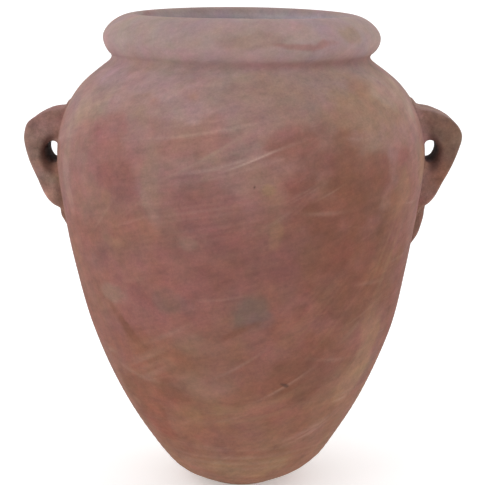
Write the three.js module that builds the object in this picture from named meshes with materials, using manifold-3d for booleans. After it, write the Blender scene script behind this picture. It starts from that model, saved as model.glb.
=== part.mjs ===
// A large two-handled terracotta storage jar, millimetres, +Z up.
// The jar stands on the plane z = 0 with its axis on Z; the handles lie on the X axis.
// Like the real thing it is raised in stages: a base slab, five wall rings, a rolled rim,
// two strap handles and two wads of clay drawn down the wall under the handles' heels.

import * as THREE from 'three';
import { mergeVertices } from 'three/addons/utils/BufferGeometryUtils.js';
import Module from 'manifold-3d';

const wasm = await Module();
wasm.setup();

// ---- driving dimensions ----------------------------------------------------------------

const overallHeight = 750;
const wallThickness = 24; // measured square to the wall
const baseThickness = 30;
const neckTop = 684; // the groove under the rolled rim
const ringSegments = 48; // facets round the jar

// Height and outside radius of the wall, from the foot up to the groove under the rim.
const wallStations = [
  [0, 54], [30, 109], [80, 150], [160, 196.5], [260, 237.5], [360, 262],
  [450, 278], [530, 287.5], [590, 278], [640, 248], [neckTop, 193.5],
];

// Heights where one thrown stage is luted to the next.
const stageHeights = [baseThickness, 180, 330, 480, 600, neckTop];
const stageNames = ['foot_ring', 'lower_wall_ring', 'belly_ring', 'shoulder_ring', 'neck_ring'];
const outerStepsPerStage = 5;
const innerStepsPerStage = 4;
const jointDepth = 8; // depth of the V groove cut round the top of each stage
const slipGap = 0.3; // room for slip in a luted joint

// The rolled rim: an elliptical roll outside its crest, a tighter bend inside.
const rimCrestRadius = 169;
const rimRollReach = 45; // how far the roll stands out from the crest
const rimRollHalfHeight = 37;
const rimInnerBend = 22;
const rimRollSteps = 10;
const rimInnerSteps = 4;

// The strap handles.
const strapWidth = 84;
const handleTop = 603; // where its top leaves the shoulder
const handleHeel = 455; // where its heel meets the wall
const handleReach = 338; // outermost point, from the jar's axis
const handleEdgeRound = 7;
const fingerGapHeight = 37;
const fingerGapCentre = 537; // height of the middle of the gap
const fingerGapReach = 305; // its outer wall, from the jar's axis
const wadWidth = 60;
const wadStand = 9; // how far the wad stands off the wall under the heel
const wadTop = 453;
const wadBottom = 388;
const insideWall = 240; // a radius safely inside the wall, where handles are cut off

// ---- finishes --------------------------------------------------------------------------

/** A matt fired-clay finish. */
function clay(colour) {
  return new THREE.MeshStandardMaterial({ color: colour, roughness: 0.92, metalness: 0 });
}

const wallClay = clay(0x9a7263);
const rimClay = clay(0xa18a80);
const handleClay = clay(0x85604f);
const baseClay = clay(0x8d6a57);

// ---- the wall's outline ----------------------------------------------------------------

/** Slope of the wall at station i, radius per height, from the stations either side. */
function stationSlope(i) {
  const below = wallStations[Math.max(i - 1, 0)];
  const above = wallStations[Math.min(i + 1, wallStations.length - 1)];
  return (above[1] - below[1]) / (above[0] - below[0]);
}

/** Outside radius of the wall at a height: a cubic through the stations, smooth at each. */
function outerRadius(height) {
  let i = 0;
  while (i < wallStations.length - 2 && height > wallStations[i + 1][0]) i += 1;
  const [lowHeight, lowRadius] = wallStations[i];
  const [highHeight, highRadius] = wallStations[i + 1];
  const span = highHeight - lowHeight;
  const t = (height - lowHeight) / span;
  const bend = t * (1 - t) * span;
  const ease = t * t * (3 - 2 * t);
  return lowRadius + (highRadius - lowRadius) * ease
    + bend * ((1 - t) * stationSlope(i) - t * stationSlope(i + 1));
}

/** Inside radius at a height, one wall thickness in from the outside, square to it. */
function innerRadius(height) {
  const step = 1;
  const low = Math.max(height - step, 0);
  const high = Math.min(height + step, neckTop);
  const slope = (outerRadius(high) - outerRadius(low)) / (high - low);
  return outerRadius(height) - wallThickness * Math.hypot(1, slope);
}

/** Evenly spaced values from start to end, both included. */
function spread(start, end, steps) {
  return Array.from({ length: steps + 1 }, (_, i) => start + (end - start) * (i / steps));
}

/** Points [radius, height] of the outside wall over one stage. */
function outerPoints(bottom, top) {
  return spread(bottom, top, outerStepsPerStage).map((z) => [outerRadius(z), z]);
}

/** The lowest point of the V across the wall at a joint: a groove, or the tongue seated in it. */
function jointPoint(height, depth) {
  return [(outerRadius(height) + innerRadius(height)) / 2, height - depth];
}

/** The bottom of the groove cut in the top of a stage. */
function grooveAt(height) {
  return jointPoint(height, jointDepth);
}

/** The tip of the tongue under the stage above. */
function tongueAt(height) {
  return jointPoint(height, jointDepth - slipGap);
}

// ---- solids ----------------------------------------------------------------------------

/** Turns a closed outline of [radius, height] points round the jar's axis. */
function turned(points) {
  const outline = points.map(([radius, height]) => new THREE.Vector2(radius, height));
  if (points[0][0] > 0) outline.push(outline[0].clone());
  const geometry = new THREE.LatheGeometry(outline, ringSegments);
  geometry.rotateX(Math.PI / 2);
  return geometry;
}

/** Extrudes an outline drawn in the XZ plane, width along Y, centred, its edges rounded. */
function strap(shape, width, edgeRound) {
  const geometry = new THREE.ExtrudeGeometry(shape, {
    depth: width - 2 * edgeRound,
    bevelEnabled: true,
    bevelThickness: edgeRound,
    bevelSize: edgeRound,
    bevelOffset: -edgeRound,
    bevelSegments: 2,
    curveSegments: 8,
  });
  geometry.translate(0, 0, edgeRound - width / 2);
  geometry.rotateX(Math.PI / 2);
  return geometry;
}

/** A closed solid with shared corners, ready for a boolean cut. */
function solidOf(geometry) {
  const bare = geometry.clone();
  bare.deleteAttribute('normal');
  bare.deleteAttribute('uv');
  const merged = mergeVertices(bare, 1e-4);
  const mesh = new wasm.Mesh({
    numProp: 3,
    vertProperties: new Float32Array(merged.attributes.position.array),
    triVerts: new Uint32Array(merged.index.array),
  });
  mesh.merge();
  return new wasm.Manifold(mesh);
}

/** The geometry of a solid after its cuts. */
function geometryOf(solid) {
  const mesh = solid.getMesh();
  const geometry = new THREE.BufferGeometry();
  geometry.setAttribute('position', new THREE.BufferAttribute(mesh.vertProperties, 3));
  geometry.setIndex(new THREE.BufferAttribute(mesh.triVerts, 1));
  geometry.computeVertexNormals();
  return geometry;
}

/** The jar's outside as one plug, a slip gap larger all round, that the handles are cut to. */
function wallPlug() {
  const facetHeights = [];
  for (let i = 0; i < stageNames.length; i += 1) {
    facetHeights.push(...spread(stageHeights[i], stageHeights[i + 1], outerStepsPerStage));
  }
  const heights = [...new Set(facetHeights)];
  const side = heights.map((z) => [outerRadius(z) + slipGap, z]);
  return solidOf(turned([[0, heights[0]], ...side, [0, neckTop]]));
}

const jarPlug = wallPlug();

// ---- pieces ----------------------------------------------------------------------------

/** The flat slab that the first stage is raised on. */
function baseSlab() {
  const side = spread(0, baseThickness, 3).map((z) => [outerRadius(z), z]);
  return turned([[0, 0], ...side, [0, baseThickness]]);
}

/** One thrown stage of the wall, seated in the V groove of the stage below it. */
function wallRing(bottom, top) {
  const outside = outerPoints(bottom, top);
  const inside = spread(top, bottom, innerStepsPerStage).map((z) => [innerRadius(z), z]);
  const seat = bottom === baseThickness ? [] : [tongueAt(bottom)];
  return turned([...outside, grooveAt(top), ...inside, ...seat]);
}

/** The rolled rim, seated on the neck. */
function rimRoll() {
  const rollCentre = overallHeight - rimRollHalfHeight;
  const startAngle = Math.asin((neckTop - rollCentre) / rimRollHalfHeight);
  const roll = spread(startAngle, Math.PI / 2, rimRollSteps).map((angle) => [
    rimCrestRadius + rimRollReach * Math.cos(angle),
    rollCentre + rimRollHalfHeight * Math.sin(angle),
  ]);
  const mouthRadius = innerRadius(neckTop);
  const innerReach = rimCrestRadius - mouthRadius;
  const inside = spread(Math.PI / 2, Math.PI, rimInnerSteps).slice(1).map((angle) => [
    rimCrestRadius + innerReach * Math.cos(angle),
    overallHeight - rimInnerBend + rimInnerBend * Math.sin(angle),
  ]);
  const seatOuter = [outerRadius(neckTop), neckTop];
  const seatInner = [mouthRadius, neckTop];
  return turned([seatOuter, ...roll, ...inside, seatInner, tongueAt(neckTop)]);
}

/** Side view of a handle on the +X side: an ear with an oval finger gap against the wall. */
function handleOutline() {
  const shape = new THREE.Shape();
  shape.moveTo(insideWall, handleTop + 3);
  shape.lineTo(284, handleTop);
  shape.bezierCurveTo(306, 601, 316, 594, 326, 586);
  shape.bezierCurveTo(335, 578, handleReach, 568, handleReach, 558);
  shape.bezierCurveTo(handleReach, 542, 324, 514, 313, 492);
  shape.bezierCurveTo(305, 475, 298, 462, 286, handleHeel);
  shape.lineTo(insideWall, handleHeel - 8);
  shape.closePath();
  const gapHalf = fingerGapHeight / 2;
  const gapMiddle = outerRadius(fingerGapCentre) + 4;
  const gap = new THREE.Path();
  gap.absellipse(gapMiddle, fingerGapCentre, fingerGapReach - gapMiddle, gapHalf, 0, 2 * Math.PI);
  return { shape, gap };
}

/** A strap handle on the +X side, cut to sit against the wall. */
function handleSolid() {
  const { shape, gap } = handleOutline();
  const ear = solidOf(strap(shape, strapWidth, handleEdgeRound));
  const gapShape = new THREE.Shape(gap.getPoints(12));
  const gapCutter = solidOf(new THREE.ExtrudeGeometry(gapShape, {
    depth: 2 * strapWidth, bevelEnabled: false,
  }).translate(0, 0, -strapWidth).rotateX(Math.PI / 2));
  return ear.subtract(gapCutter).subtract(jarPlug);
}

/** The wad drawn down the wall under a heel on the +X side, tapering to nothing. */
function wadSolid() {
  const middle = (wadTop + wadBottom) / 2;
  const shape = new THREE.Shape();
  shape.moveTo(insideWall, wadTop - 9);
  shape.lineTo(outerRadius(wadTop) + wadStand, wadTop);
  shape.quadraticCurveTo(
    outerRadius(middle) + wadStand, middle, outerRadius(wadBottom) + 2, wadBottom,
  );
  shape.lineTo(insideWall, wadBottom - 4);
  shape.closePath();
  const wad = solidOf(strap(shape, wadWidth, 2));
  return wad.subtract(jarPlug);
}

// ---- assembly --------------------------------------------------------------------------

const jar = new THREE.Group();

/** Adds one named piece to the jar. */
function addPiece(name, geometry, material) {
  const piece = new THREE.Mesh(geometry, material);
  piece.name = name;
  jar.add(piece);
  return piece;
}

addPiece('base_slab', baseSlab(), baseClay);
stageNames.forEach((name, i) => {
  addPiece(name, wallRing(stageHeights[i], stageHeights[i + 1]), wallClay);
});
addPiece('rim_roll', rimRoll(), rimClay);

const handleGeometry = geometryOf(handleSolid());
const wadGeometry = geometryOf(wadSolid());
for (const [side, turn] of [['right', 0], ['left', Math.PI]]) {
  addPiece(`${side}_handle`, handleGeometry, handleClay).rotation.z = turn;
  addPiece(`${side}_heel_wad`, wadGeometry, handleClay).rotation.z = turn;
}

export default jar;
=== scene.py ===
"""A large two-handled terracotta storage jar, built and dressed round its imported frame.

The jar is raised in stages like the real thing: a base slab, five thrown wall stages, a rolled
rim, two strap handles luted to the shoulder, and two wads of clay drawn down the wall under the
handles' heels. Every surface is worked out with numpy and carries its own paint attributes.
"""

import logging
import math
from dataclasses import dataclass, replace
from enum import Enum

import bpy
import numpy as np
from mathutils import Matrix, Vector


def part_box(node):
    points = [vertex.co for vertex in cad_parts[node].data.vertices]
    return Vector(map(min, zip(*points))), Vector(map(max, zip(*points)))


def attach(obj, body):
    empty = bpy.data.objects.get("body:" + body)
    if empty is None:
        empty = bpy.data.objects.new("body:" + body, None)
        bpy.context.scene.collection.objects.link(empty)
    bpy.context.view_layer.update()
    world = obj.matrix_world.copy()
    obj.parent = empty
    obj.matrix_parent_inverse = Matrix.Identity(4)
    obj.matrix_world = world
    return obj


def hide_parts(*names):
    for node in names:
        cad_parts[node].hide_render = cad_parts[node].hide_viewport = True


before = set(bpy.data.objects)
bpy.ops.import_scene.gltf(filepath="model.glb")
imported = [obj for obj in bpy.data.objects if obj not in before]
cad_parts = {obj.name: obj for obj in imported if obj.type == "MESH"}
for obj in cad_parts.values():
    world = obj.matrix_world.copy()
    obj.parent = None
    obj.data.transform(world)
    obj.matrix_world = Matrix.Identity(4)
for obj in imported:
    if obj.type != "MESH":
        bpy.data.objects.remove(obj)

log = logging.getLogger("jar")

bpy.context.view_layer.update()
FRONT_TO_RIGHT = 1.3  # degrees that the viewer stands round to the jar's right


# ---- small helpers -----------------------------------------------------------------------


def smooth_step(low: float, high: float, value: np.ndarray) -> np.ndarray:
    """Rises smoothly from 0 at low to 1 at high, with flat ends.

    Args:
        low: Where the rise starts.
        high: Where it ends; below low it falls instead.
        value: The values to grade.

    Returns:
        t * t * (3 - 2 t), with t the clipped fraction of the way from low to high.
    """
    t = np.clip((value - low) / (high - low), 0.0, 1.0)
    return t * t * (3.0 - 2.0 * t)


def cloud(points: np.ndarray, cell: float, seed: int, octaves: int = 4) -> np.ndarray:
    """Cloudy noise in space, about -1 to 1.

    Each octave is a lattice of random numbers, blended between its eight nearest corners by a
    smooth step; the next octave has half the cell and half the height.

    Args:
        points: Places, n by 3, in metres.
        cell: Size of the widest cell, in metres.
        seed: Picks the lattice.
        octaves: How many layers are added.

    Returns:
        One value for each place.
    """
    rng = np.random.default_rng(seed)
    size = 16
    total = np.zeros(len(points))
    height = 0.6
    for octave in range(octaves):
        lattice = rng.uniform(-1.0, 1.0, (size, size, size))
        place = points * (2.0**octave / cell) + rng.uniform(0.0, size, 3)
        corner = np.floor(place).astype(int)
        blend = smooth_step(0.0, 1.0, place - corner)
        layer = np.zeros(len(points))
        for dx in (0, 1):
            for dy in (0, 1):
                for dz in (0, 1):
                    pick = (corner + (dx, dy, dz)) % size
                    near = np.abs(1 - np.array((dx, dy, dz)) - blend)
                    layer += lattice[tuple(pick.T)] * near.prod(axis=1)
        total += height * layer
        height *= 0.5
    return total


def to_linear(shown: np.ndarray) -> np.ndarray:
    """The linear values of display values, all 0 to 1."""
    return np.where(shown <= 0.04045, shown / 12.92, ((shown + 0.055) / 1.055) ** 2.4)


def shares(levels: tuple[int, int, int]) -> np.ndarray:
    """Display values 0 to 255 as shares 0 to 1."""
    return np.array(levels, float) / 255.0


def joined(*parts: np.ndarray) -> np.ndarray:
    """Arrays spread to one shape and joined as the last axis of a new one."""
    return np.stack(np.broadcast_arrays(*parts), axis=-1)


def unit(angle: float) -> np.ndarray:
    """The direction [cosine, sine] of an angle."""
    return np.array((math.cos(angle), math.sin(angle)))


def slide(start: np.ndarray, corner: np.ndarray, end: np.ndarray, t: np.ndarray) -> np.ndarray:
    """The curve of a point that slides from the line start-corner to the line corner-end.

    Args:
        start: Where it starts, a point.
        corner: Where the two lines meet.
        end: Where it ends.
        t: How far along it each point is, 0 to 1.

    Returns:
        (1 - t)^2 start + 2 t (1 - t) corner + t^2 end, one point for each t.
    """
    t = np.asarray(t)[..., None]
    return (1 - t) ** 2 * start + 2 * t * (1 - t) * corner + t**2 * end


def outward(points: np.ndarray, quads: np.ndarray) -> np.ndarray:
    """Turns a closed surface's quads so that they face outwards.

    Args:
        points: Corner places, n by 3.
        quads: Corner numbers, m by 4; a repeated last corner is a triangle.

    Returns:
        The quads, reversed when the volume that they enclose comes out negative.
    """
    a, b, c, d = (points[quads[:, i]] for i in range(4))
    volume = np.einsum("ij,ij->", a, np.cross(b, c)) + np.einsum("ij,ij->", a, np.cross(c, d))
    return quads if volume > 0 else quads[:, ::-1]


def grid_quads(rows: int, columns: int, wrap_rows: bool) -> np.ndarray:
    """Quads of a grid whose columns close on themselves, and its rows too if asked.

    Args:
        rows: Number of rows of corners.
        columns: Corners in each row.
        wrap_rows: Whether the last row joins the first.

    Returns:
        Corner numbers, m by 4.
    """
    row = np.arange(rows if wrap_rows else rows - 1)[:, None]
    column = np.arange(columns)[None, :]
    above = (row + 1) % rows
    beside = (column + 1) % columns
    corners = (
        row * columns + column,
        row * columns + beside,
        above * columns + beside,
        above * columns + column,
    )
    return np.stack([np.broadcast_to(c, (len(row), columns)).ravel() for c in corners], axis=1)


def closed_tube(points: np.ndarray, rows: int, columns: int) -> tuple[np.ndarray, np.ndarray]:
    """Closes a tube at both ends by a fan round the middle of each end.

    Args:
        points: Corner places of the tube, row after row, rows * columns by 3.
        rows: Number of rows of corners.
        columns: Corners in each row.

    Returns:
        The corners with the two middles added at their end, and the quads.
    """
    ring = np.arange(columns)
    beside = (ring + 1) % columns
    top = (rows - 1) * columns
    first, last = np.full(columns, rows * columns), np.full(columns, rows * columns + 1)
    quads = np.concatenate((
        grid_quads(rows, columns, wrap_rows=False),
        np.stack((beside, ring, first, first), axis=1),
        np.stack((top + ring, top + beside, last, last), axis=1),
    ))
    middles = points.reshape(rows, columns, 3)[[0, -1]].mean(axis=1)
    return np.concatenate((points, middles)), quads


def put_in_scene(name: str, data: bpy.types.ID) -> bpy.types.Object:
    """Makes an object in the scene.

    Args:
        name: Its name.
        data: Its mesh, light or camera.

    Returns:
        The new object.
    """
    thing = bpy.data.objects.new(name, data)
    bpy.context.scene.collection.objects.link(thing)
    return thing


def build_mesh(name: str, points: np.ndarray, quads: np.ndarray) -> bpy.types.Object:
    """Makes an object in the scene from corners and quads.

    Args:
        name: The piece's name.
        points: Corner places, n by 3, in metres.
        quads: Corner numbers, m by 4; a row that repeats its last corner is a triangle.

    Returns:
        The new object, smooth-shaded, with sharp edges only where it turns sharply.
    """
    sharp_turn = math.radians(48)
    quads = outward(points, quads)
    keep = np.ones(quads.shape, dtype=bool)
    keep[:, 1:] = quads[:, 1:] != quads[:, :-1]
    keep[:, 0] = quads[:, 0] != quads[:, -1]
    sides = keep.sum(axis=1)
    corners = quads[keep]
    starts = np.concatenate(([0], np.cumsum(sides)[:-1]))
    mesh = bpy.data.meshes.new(name)
    mesh.vertices.add(len(points))
    mesh.vertices.foreach_set("co", np.ascontiguousarray(points, dtype=np.float32).ravel())
    mesh.loops.add(len(corners))
    mesh.loops.foreach_set("vertex_index", corners.astype(np.int32))
    mesh.polygons.add(len(quads))
    mesh.polygons.foreach_set("loop_start", starts.astype(np.int32))
    mesh.polygons.foreach_set("use_smooth", np.ones(len(quads), dtype=bool))
    mesh.update(calc_edges=True)
    mesh.validate()
    mesh.set_sharp_from_angle(angle=sharp_turn)
    return put_in_scene(name, mesh)


# ---- paint: how the clay's colour lies ------------------------------------------------


class Tint(Enum):
    """A colour that the clay takes, as display values 0 to 255; the two mouth shade greys are painted
    light.
    """

    BEIGE = (164, 137, 122)
    MAUVE = (167, 136, 135)
    ROSE = (150, 100, 95)
    PLUM = (130, 84, 79)
    RUST = (140, 86, 68)
    UMBER = (122, 78, 62)
    OCHRE = (154, 119, 92)
    OLIVE = (144, 114, 101)
    SHADE = (112, 90, 82)
    CHALK = (190, 162, 150)
    SOOT = (70, 50, 44)
    # painted light: the cool grey of the shade inside the mouth
    GREY = (196, 188, 194)
    MOUTH_SHADE_DUSK = (184, 170, 176)
    DEEP = (166, 136, 126)

    @property
    def levels(self) -> np.ndarray:
        """The display values as an array."""
        return np.array(self.value, float)


@dataclass(frozen=True)
class Wrapped:
    """Places on the outside, given by how they lie round the jar."""

    azimuth: np.ndarray  # degrees from the front
    height: np.ndarray  # metres
    radius: np.ndarray  # metres
    mottle: np.ndarray  # cloudy noise, about -1 to 1

    def drifted(self, turn: np.ndarray, lift: np.ndarray) -> "Wrapped":
        """The same places carried about by degrees of turn and metres of lift."""
        return replace(self, azimuth=self.azimuth + turn, height=self.height + lift)


@dataclass(frozen=True)
class Patch:
    """A place on the jar's outside, with its own directions along and across a stroke."""

    tint: Tint
    azimuth: float  # degrees round from the front, + to the viewer's right
    height: float  # metres above the ground
    width: float  # half width along the stroke, metres
    depth: float  # half height across it, metres
    strength: float
    climb: float = 0.0  # degrees that it rises to the right
    bend: float = 0.0  # how much it curls up at its ends, 1 / metres

    def hill(self, places: Wrapped) -> tuple[np.ndarray, np.ndarray]:
        """A Gaussian hill over the patch, exp(-(along / width)^2 - (across / depth)^2).

        Args:
            places: Places on the outside.

        Returns:
            The hill's height at each place, and how far across the stroke it is, in metres.
        """
        turn = (places.azimuth - self.azimuth + 180.0) % 360.0 - 180.0
        round_girth = np.radians(turn) * places.radius
        up = places.height - self.height
        cosine, sine = math.cos(math.radians(self.climb)), math.sin(math.radians(self.climb))
        along = round_girth * cosine + up * sine
        across = up * cosine - round_girth * sine - self.bend * along**2
        return np.exp(-((along / self.width) ** 2) - (across / self.depth) ** 2), across

    def cover(self, places: Wrapped) -> np.ndarray:
        """How strongly the patch lies on each place, 0 to 1."""
        raise NotImplementedError


@dataclass(frozen=True)
class Blotch(Patch):
    """A cloud of colour with a broken edge."""

    broken: float = 0.90  # how far cloudy noise eats into its hill
    edge: tuple[float, float] = (0.18, 0.72)  # heights of the hill where it starts and is full

    def cover(self, places: Wrapped) -> np.ndarray:
        """The hill, eaten into by cloudy noise and then steepened."""
        return self.strength * smooth_step(
            *self.edge, self.hill(places)[0] * (1.0 + self.broken * places.mottle))


@dataclass(frozen=True)
class Wipe(Patch):
    """The fine parallel lines left by one sweep of a cloth or brush."""

    bristle: float = 0.0042  # metres between lines
    reach: float = 3.0  # how many times its half height its lines are worked out to
    edge: tuple[float, float] = (0.25, 0.95)  # heights of the profile where a line starts, is full

    def cover(self, places: Wrapped) -> np.ndarray:
        """The hill cut into lines by a random profile across the stroke.

        Args:
            places: Places on the outside.

        Returns:
            How strongly the wipe lies on each place, 0 to 1.
        """
        hill, across = self.hill(places)
        rng = np.random.default_rng(int(1000 + 7 * abs(self.azimuth) + 1000 * self.height))
        count = max(9, int(2.0 * self.reach * self.depth / self.bristle))
        knots = np.linspace(-self.reach, self.reach, count)
        lines = np.interp(across / self.depth, knots, rng.uniform(0.0, 1.0, count))
        return self.strength * hill * smooth_step(*self.edge, lines)


FRONT_PATCHES = (
    # the pale shoulder and its mauve and ochre clouds
    Blotch(Tint.BEIGE, -58, 0.610, 0.045, 0.035, 0.55),
    Blotch(Tint.MAUVE, -14, 0.632, 0.040, 0.016, 0.55),
    Blotch(Tint.OLIVE, 28, 0.602, 0.060, 0.032, 0.50),
    Blotch(Tint.OCHRE, 48, 0.612, 0.085, 0.045, 0.50),
    Blotch(Tint.OLIVE, 45, 0.575, 0.080, 0.020, 0.45),
    Blotch(Tint.OCHRE, 40, 0.650, 0.060, 0.012, 0.35, 6),
    Blotch(Tint.ROSE, -40, 0.597, 0.045, 0.025, 0.55),
    Blotch(Tint.ROSE, -52, 0.578, 0.050, 0.030, 0.35),
    Blotch(Tint.MAUVE, -60, 0.666, 0.060, 0.016, 0.85),
    Blotch(Tint.BEIGE, 68, 0.635, 0.065, 0.036, 0.80),
    Blotch(Tint.MAUVE, -32, 0.655, 0.110, 0.022, 0.60),
    Blotch(Tint.MAUVE, -26, 0.632, 0.110, 0.018, 0.45),
    Blotch(Tint.MAUVE, -28, 0.655, 0.055, 0.014, 0.40),
    Blotch(Tint.ROSE, -10, 0.583, 0.070, 0.018, 0.45, 6),
    Blotch(Tint.ROSE, 17, 0.584, 0.045, 0.022, 0.60, 14),
    Blotch(Tint.OLIVE, -13, 0.556, 0.045, 0.014, 0.40, 6),
    # the girth
    Blotch(Tint.ROSE, -40, 0.547, 0.058, 0.045, 0.66),
    Blotch(Tint.PLUM, -37, 0.520, 0.032, 0.045, 0.60, 100),
    Blotch(Tint.OLIVE, -25, 0.515, 0.018, 0.055, 0.65),
    Blotch(Tint.PLUM, -12, 0.503, 0.055, 0.026, 0.50, 10),
    Blotch(Tint.OLIVE, 4, 0.535, 0.046, 0.024, 0.50, 12),
    Blotch(Tint.OCHRE, 9, 0.522, 0.012, 0.009, 0.55),
    Blotch(Tint.PLUM, 22, 0.545, 0.045, 0.022, 0.50, 24),
    Blotch(Tint.UMBER, 24, 0.563, 0.065, 0.045, 0.32),
    Blotch(Tint.UMBER, 36, 0.535, 0.090, 0.040, 0.42, 4),
    Blotch(Tint.RUST, 42, 0.545, 0.050, 0.022, 0.30),
    Blotch(Tint.ROSE, 57, 0.545, 0.022, 0.010, 0.60, 20),
    Blotch(Tint.OCHRE, 56, 0.490, 0.035, 0.035, 0.55),
    Blotch(Tint.BEIGE, -63, 0.520, 0.018, 0.110, 0.30),
    Blotch(Tint.OCHRE, -42, 0.500, 0.010, 0.014, 0.35),
    Blotch(Tint.OCHRE, -41, 0.430, 0.022, 0.008, 0.25),
    Blotch(Tint.OLIVE, -15, 0.442, 0.015, 0.013, 0.45),
    # the wall below the girth, and its dark right side
    Blotch(Tint.UMBER, 37, 0.400, 0.120, 0.110, 0.42),
    Blotch(Tint.UMBER, -60, 0.430, 0.065, 0.034, 0.52),
    Blotch(Tint.UMBER, -2, 0.394, 0.045, 0.024, 0.38),
    Blotch(Tint.ROSE, -60, 0.440, 0.055, 0.040, 0.45),
    Blotch(Tint.PLUM, 11, 0.445, 0.110, 0.050, 0.55, 14),
    Blotch(Tint.UMBER, 36, 0.490, 0.078, 0.055, 0.60, 10),
    Blotch(Tint.UMBER, 26, 0.500, 0.065, 0.045, 0.35),
    Blotch(Tint.UMBER, 19, 0.468, 0.034, 0.022, 0.42),
    Blotch(Tint.UMBER, 58, 0.460, 0.060, 0.120, 0.30),
    Blotch(Tint.UMBER, 37, 0.583, 0.040, 0.018, 0.30),
    Blotch(Tint.UMBER, 30, 0.425, 0.050, 0.035, 0.55),
    Blotch(Tint.OCHRE, 11, 0.455, 0.010, 0.022, 0.35, -20),
    Blotch(Tint.ROSE, -25, 0.345, 0.110, 0.060, 0.32),
    Blotch(Tint.ROSE, -30, 0.405, 0.080, 0.030, 0.30),
    Blotch(Tint.PLUM, -1, 0.382, 0.090, 0.040, 0.48),
    Blotch(Tint.OCHRE, 58, 0.385, 0.035, 0.060, 0.35),
    Blotch(Tint.UMBER, 50, 0.372, 0.080, 0.075, 0.55),
    Blotch(Tint.UMBER, 38, 0.370, 0.080, 0.060, 0.45),
    Blotch(Tint.SHADE, 5, 0.336, 0.036, 0.026, 0.70),
    Blotch(Tint.UMBER, 2, 0.312, 0.034, 0.006, 0.55, 18),
    Blotch(Tint.OLIVE, -47, 0.350, 0.032, 0.016, 0.65),
    Blotch(Tint.UMBER, -43, 0.302, 0.042, 0.011, 0.90, -48),
    Blotch(Tint.RUST, -38, 0.282, 0.026, 0.026, 0.40),
    Blotch(Tint.ROSE, 20, 0.315, 0.030, 0.050, 0.45),
    Blotch(Tint.UMBER, 27, 0.275, 0.040, 0.036, 0.60),
    Blotch(Tint.UMBER, 19, 0.312, 0.038, 0.038, 0.42),
    Blotch(Tint.SHADE, -22, 0.352, 0.035, 0.022, 0.42),
    Blotch(Tint.OLIVE, -15, 0.286, 0.045, 0.016, 0.26),
    Blotch(Tint.UMBER, 28, 0.232, 0.064, 0.044, 0.74),
    Blotch(Tint.UMBER, -27, 0.203, 0.036, 0.026, 0.70),
    Blotch(Tint.UMBER, -48, 0.160, 0.050, 0.060, 0.85),
    Blotch(Tint.UMBER, -40, 0.186, 0.042, 0.026, 0.50),
    Blotch(Tint.UMBER, -38, 0.095, 0.050, 0.034, 0.35),
    # the lower wall and the foot
    Blotch(Tint.OLIVE, -14, 0.218, 0.046, 0.028, 0.32),
    Blotch(Tint.RUST, -34, 0.255, 0.080, 0.040, 0.28),
    Blotch(Tint.UMBER, 8, 0.200, 0.060, 0.020, 0.25, 14),
    Blotch(Tint.RUST, -42, 0.185, 0.040, 0.035, 0.45),
    Blotch(Tint.RUST, -44, 0.130, 0.035, 0.040, 0.75, -35),
    Blotch(Tint.OCHRE, 54, 0.268, 0.026, 0.075, 0.48, 12),
    Blotch(Tint.UMBER, 72, 0.300, 0.030, 0.080, 0.40),
    Blotch(Tint.OCHRE, 52, 0.200, 0.036, 0.035, 0.55, 30),
    Blotch(Tint.OCHRE, 4, 0.060, 0.110, 0.024, 0.50),
    # wipes, scratches and specks
    Wipe(Tint.CHALK, -11, 0.604, 0.090, 0.009, 0.55, 9, 0.4),
    Wipe(Tint.CHALK, -5, 0.550, 0.040, 0.0050, 0.60, 9, 0.3, 0.0026),
    Wipe(Tint.CHALK, 4, 0.563, 0.034, 0.0056, 0.85, 21, 0.4, 0.0026),
    Wipe(Tint.CHALK, 2, 0.560, 0.070, 0.0130, 0.40, 15, 0.3, 0.0032),
    Wipe(Tint.BEIGE, -52, 0.622, 0.035, 0.012, 0.55, -25),
    Wipe(Tint.BEIGE, -8, 0.490, 0.100, 0.045, 0.18, 10),
    Wipe(Tint.OCHRE, 54, 0.410, 0.060, 0.028, 0.40, 68),
    Wipe(Tint.OCHRE, 30, 0.320, 0.090, 0.060, 0.25, 50),
    Wipe(Tint.BEIGE, -35, 0.240, 0.036, 0.024, 0.34, 26),
    Wipe(Tint.BEIGE, -58, 0.288, 0.018, 0.005, 0.60, -48),
    Wipe(Tint.CHALK, 18, 0.211, 0.040, 0.008, 0.46, 32, 0.6, 0.003),
    Wipe(Tint.OCHRE, 7, 0.170, 0.065, 0.026, 0.40, 13, 1.2),
    Wipe(Tint.CHALK, 36, 0.122, 0.042, 0.008, 0.32, 24, 0.8),
    Wipe(Tint.OCHRE, 48, 0.245, 0.075, 0.020, 0.45, 60),
    Wipe(Tint.BEIGE, 2, 0.066, 0.120, 0.030, 0.35, 2),
    Blotch(Tint.SOOT, 4, 0.526, 0.0035, 0.0030, 0.80),
    Blotch(Tint.SOOT, 18, 0.213, 0.0070, 0.0030, 0.60, -12),
    # the rim and the groove under it
    Blotch(Tint.ROSE, 30, 0.714, 0.055, 0.005, 0.50),
    Blotch(Tint.OCHRE, 50, 0.722, 0.022, 0.014, 0.35),
    Blotch(Tint.MAUVE, -30, 0.700, 0.050, 0.010, 0.45),
    Blotch(Tint.MAUVE, 2, 0.701, 0.110, 0.011, 0.55),
    Blotch(Tint.MAUVE, -6, 0.683, 0.120, 0.008, 0.50),
    Blotch(Tint.OLIVE, 4, 0.722, 0.050, 0.012, 0.35),
)


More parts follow.
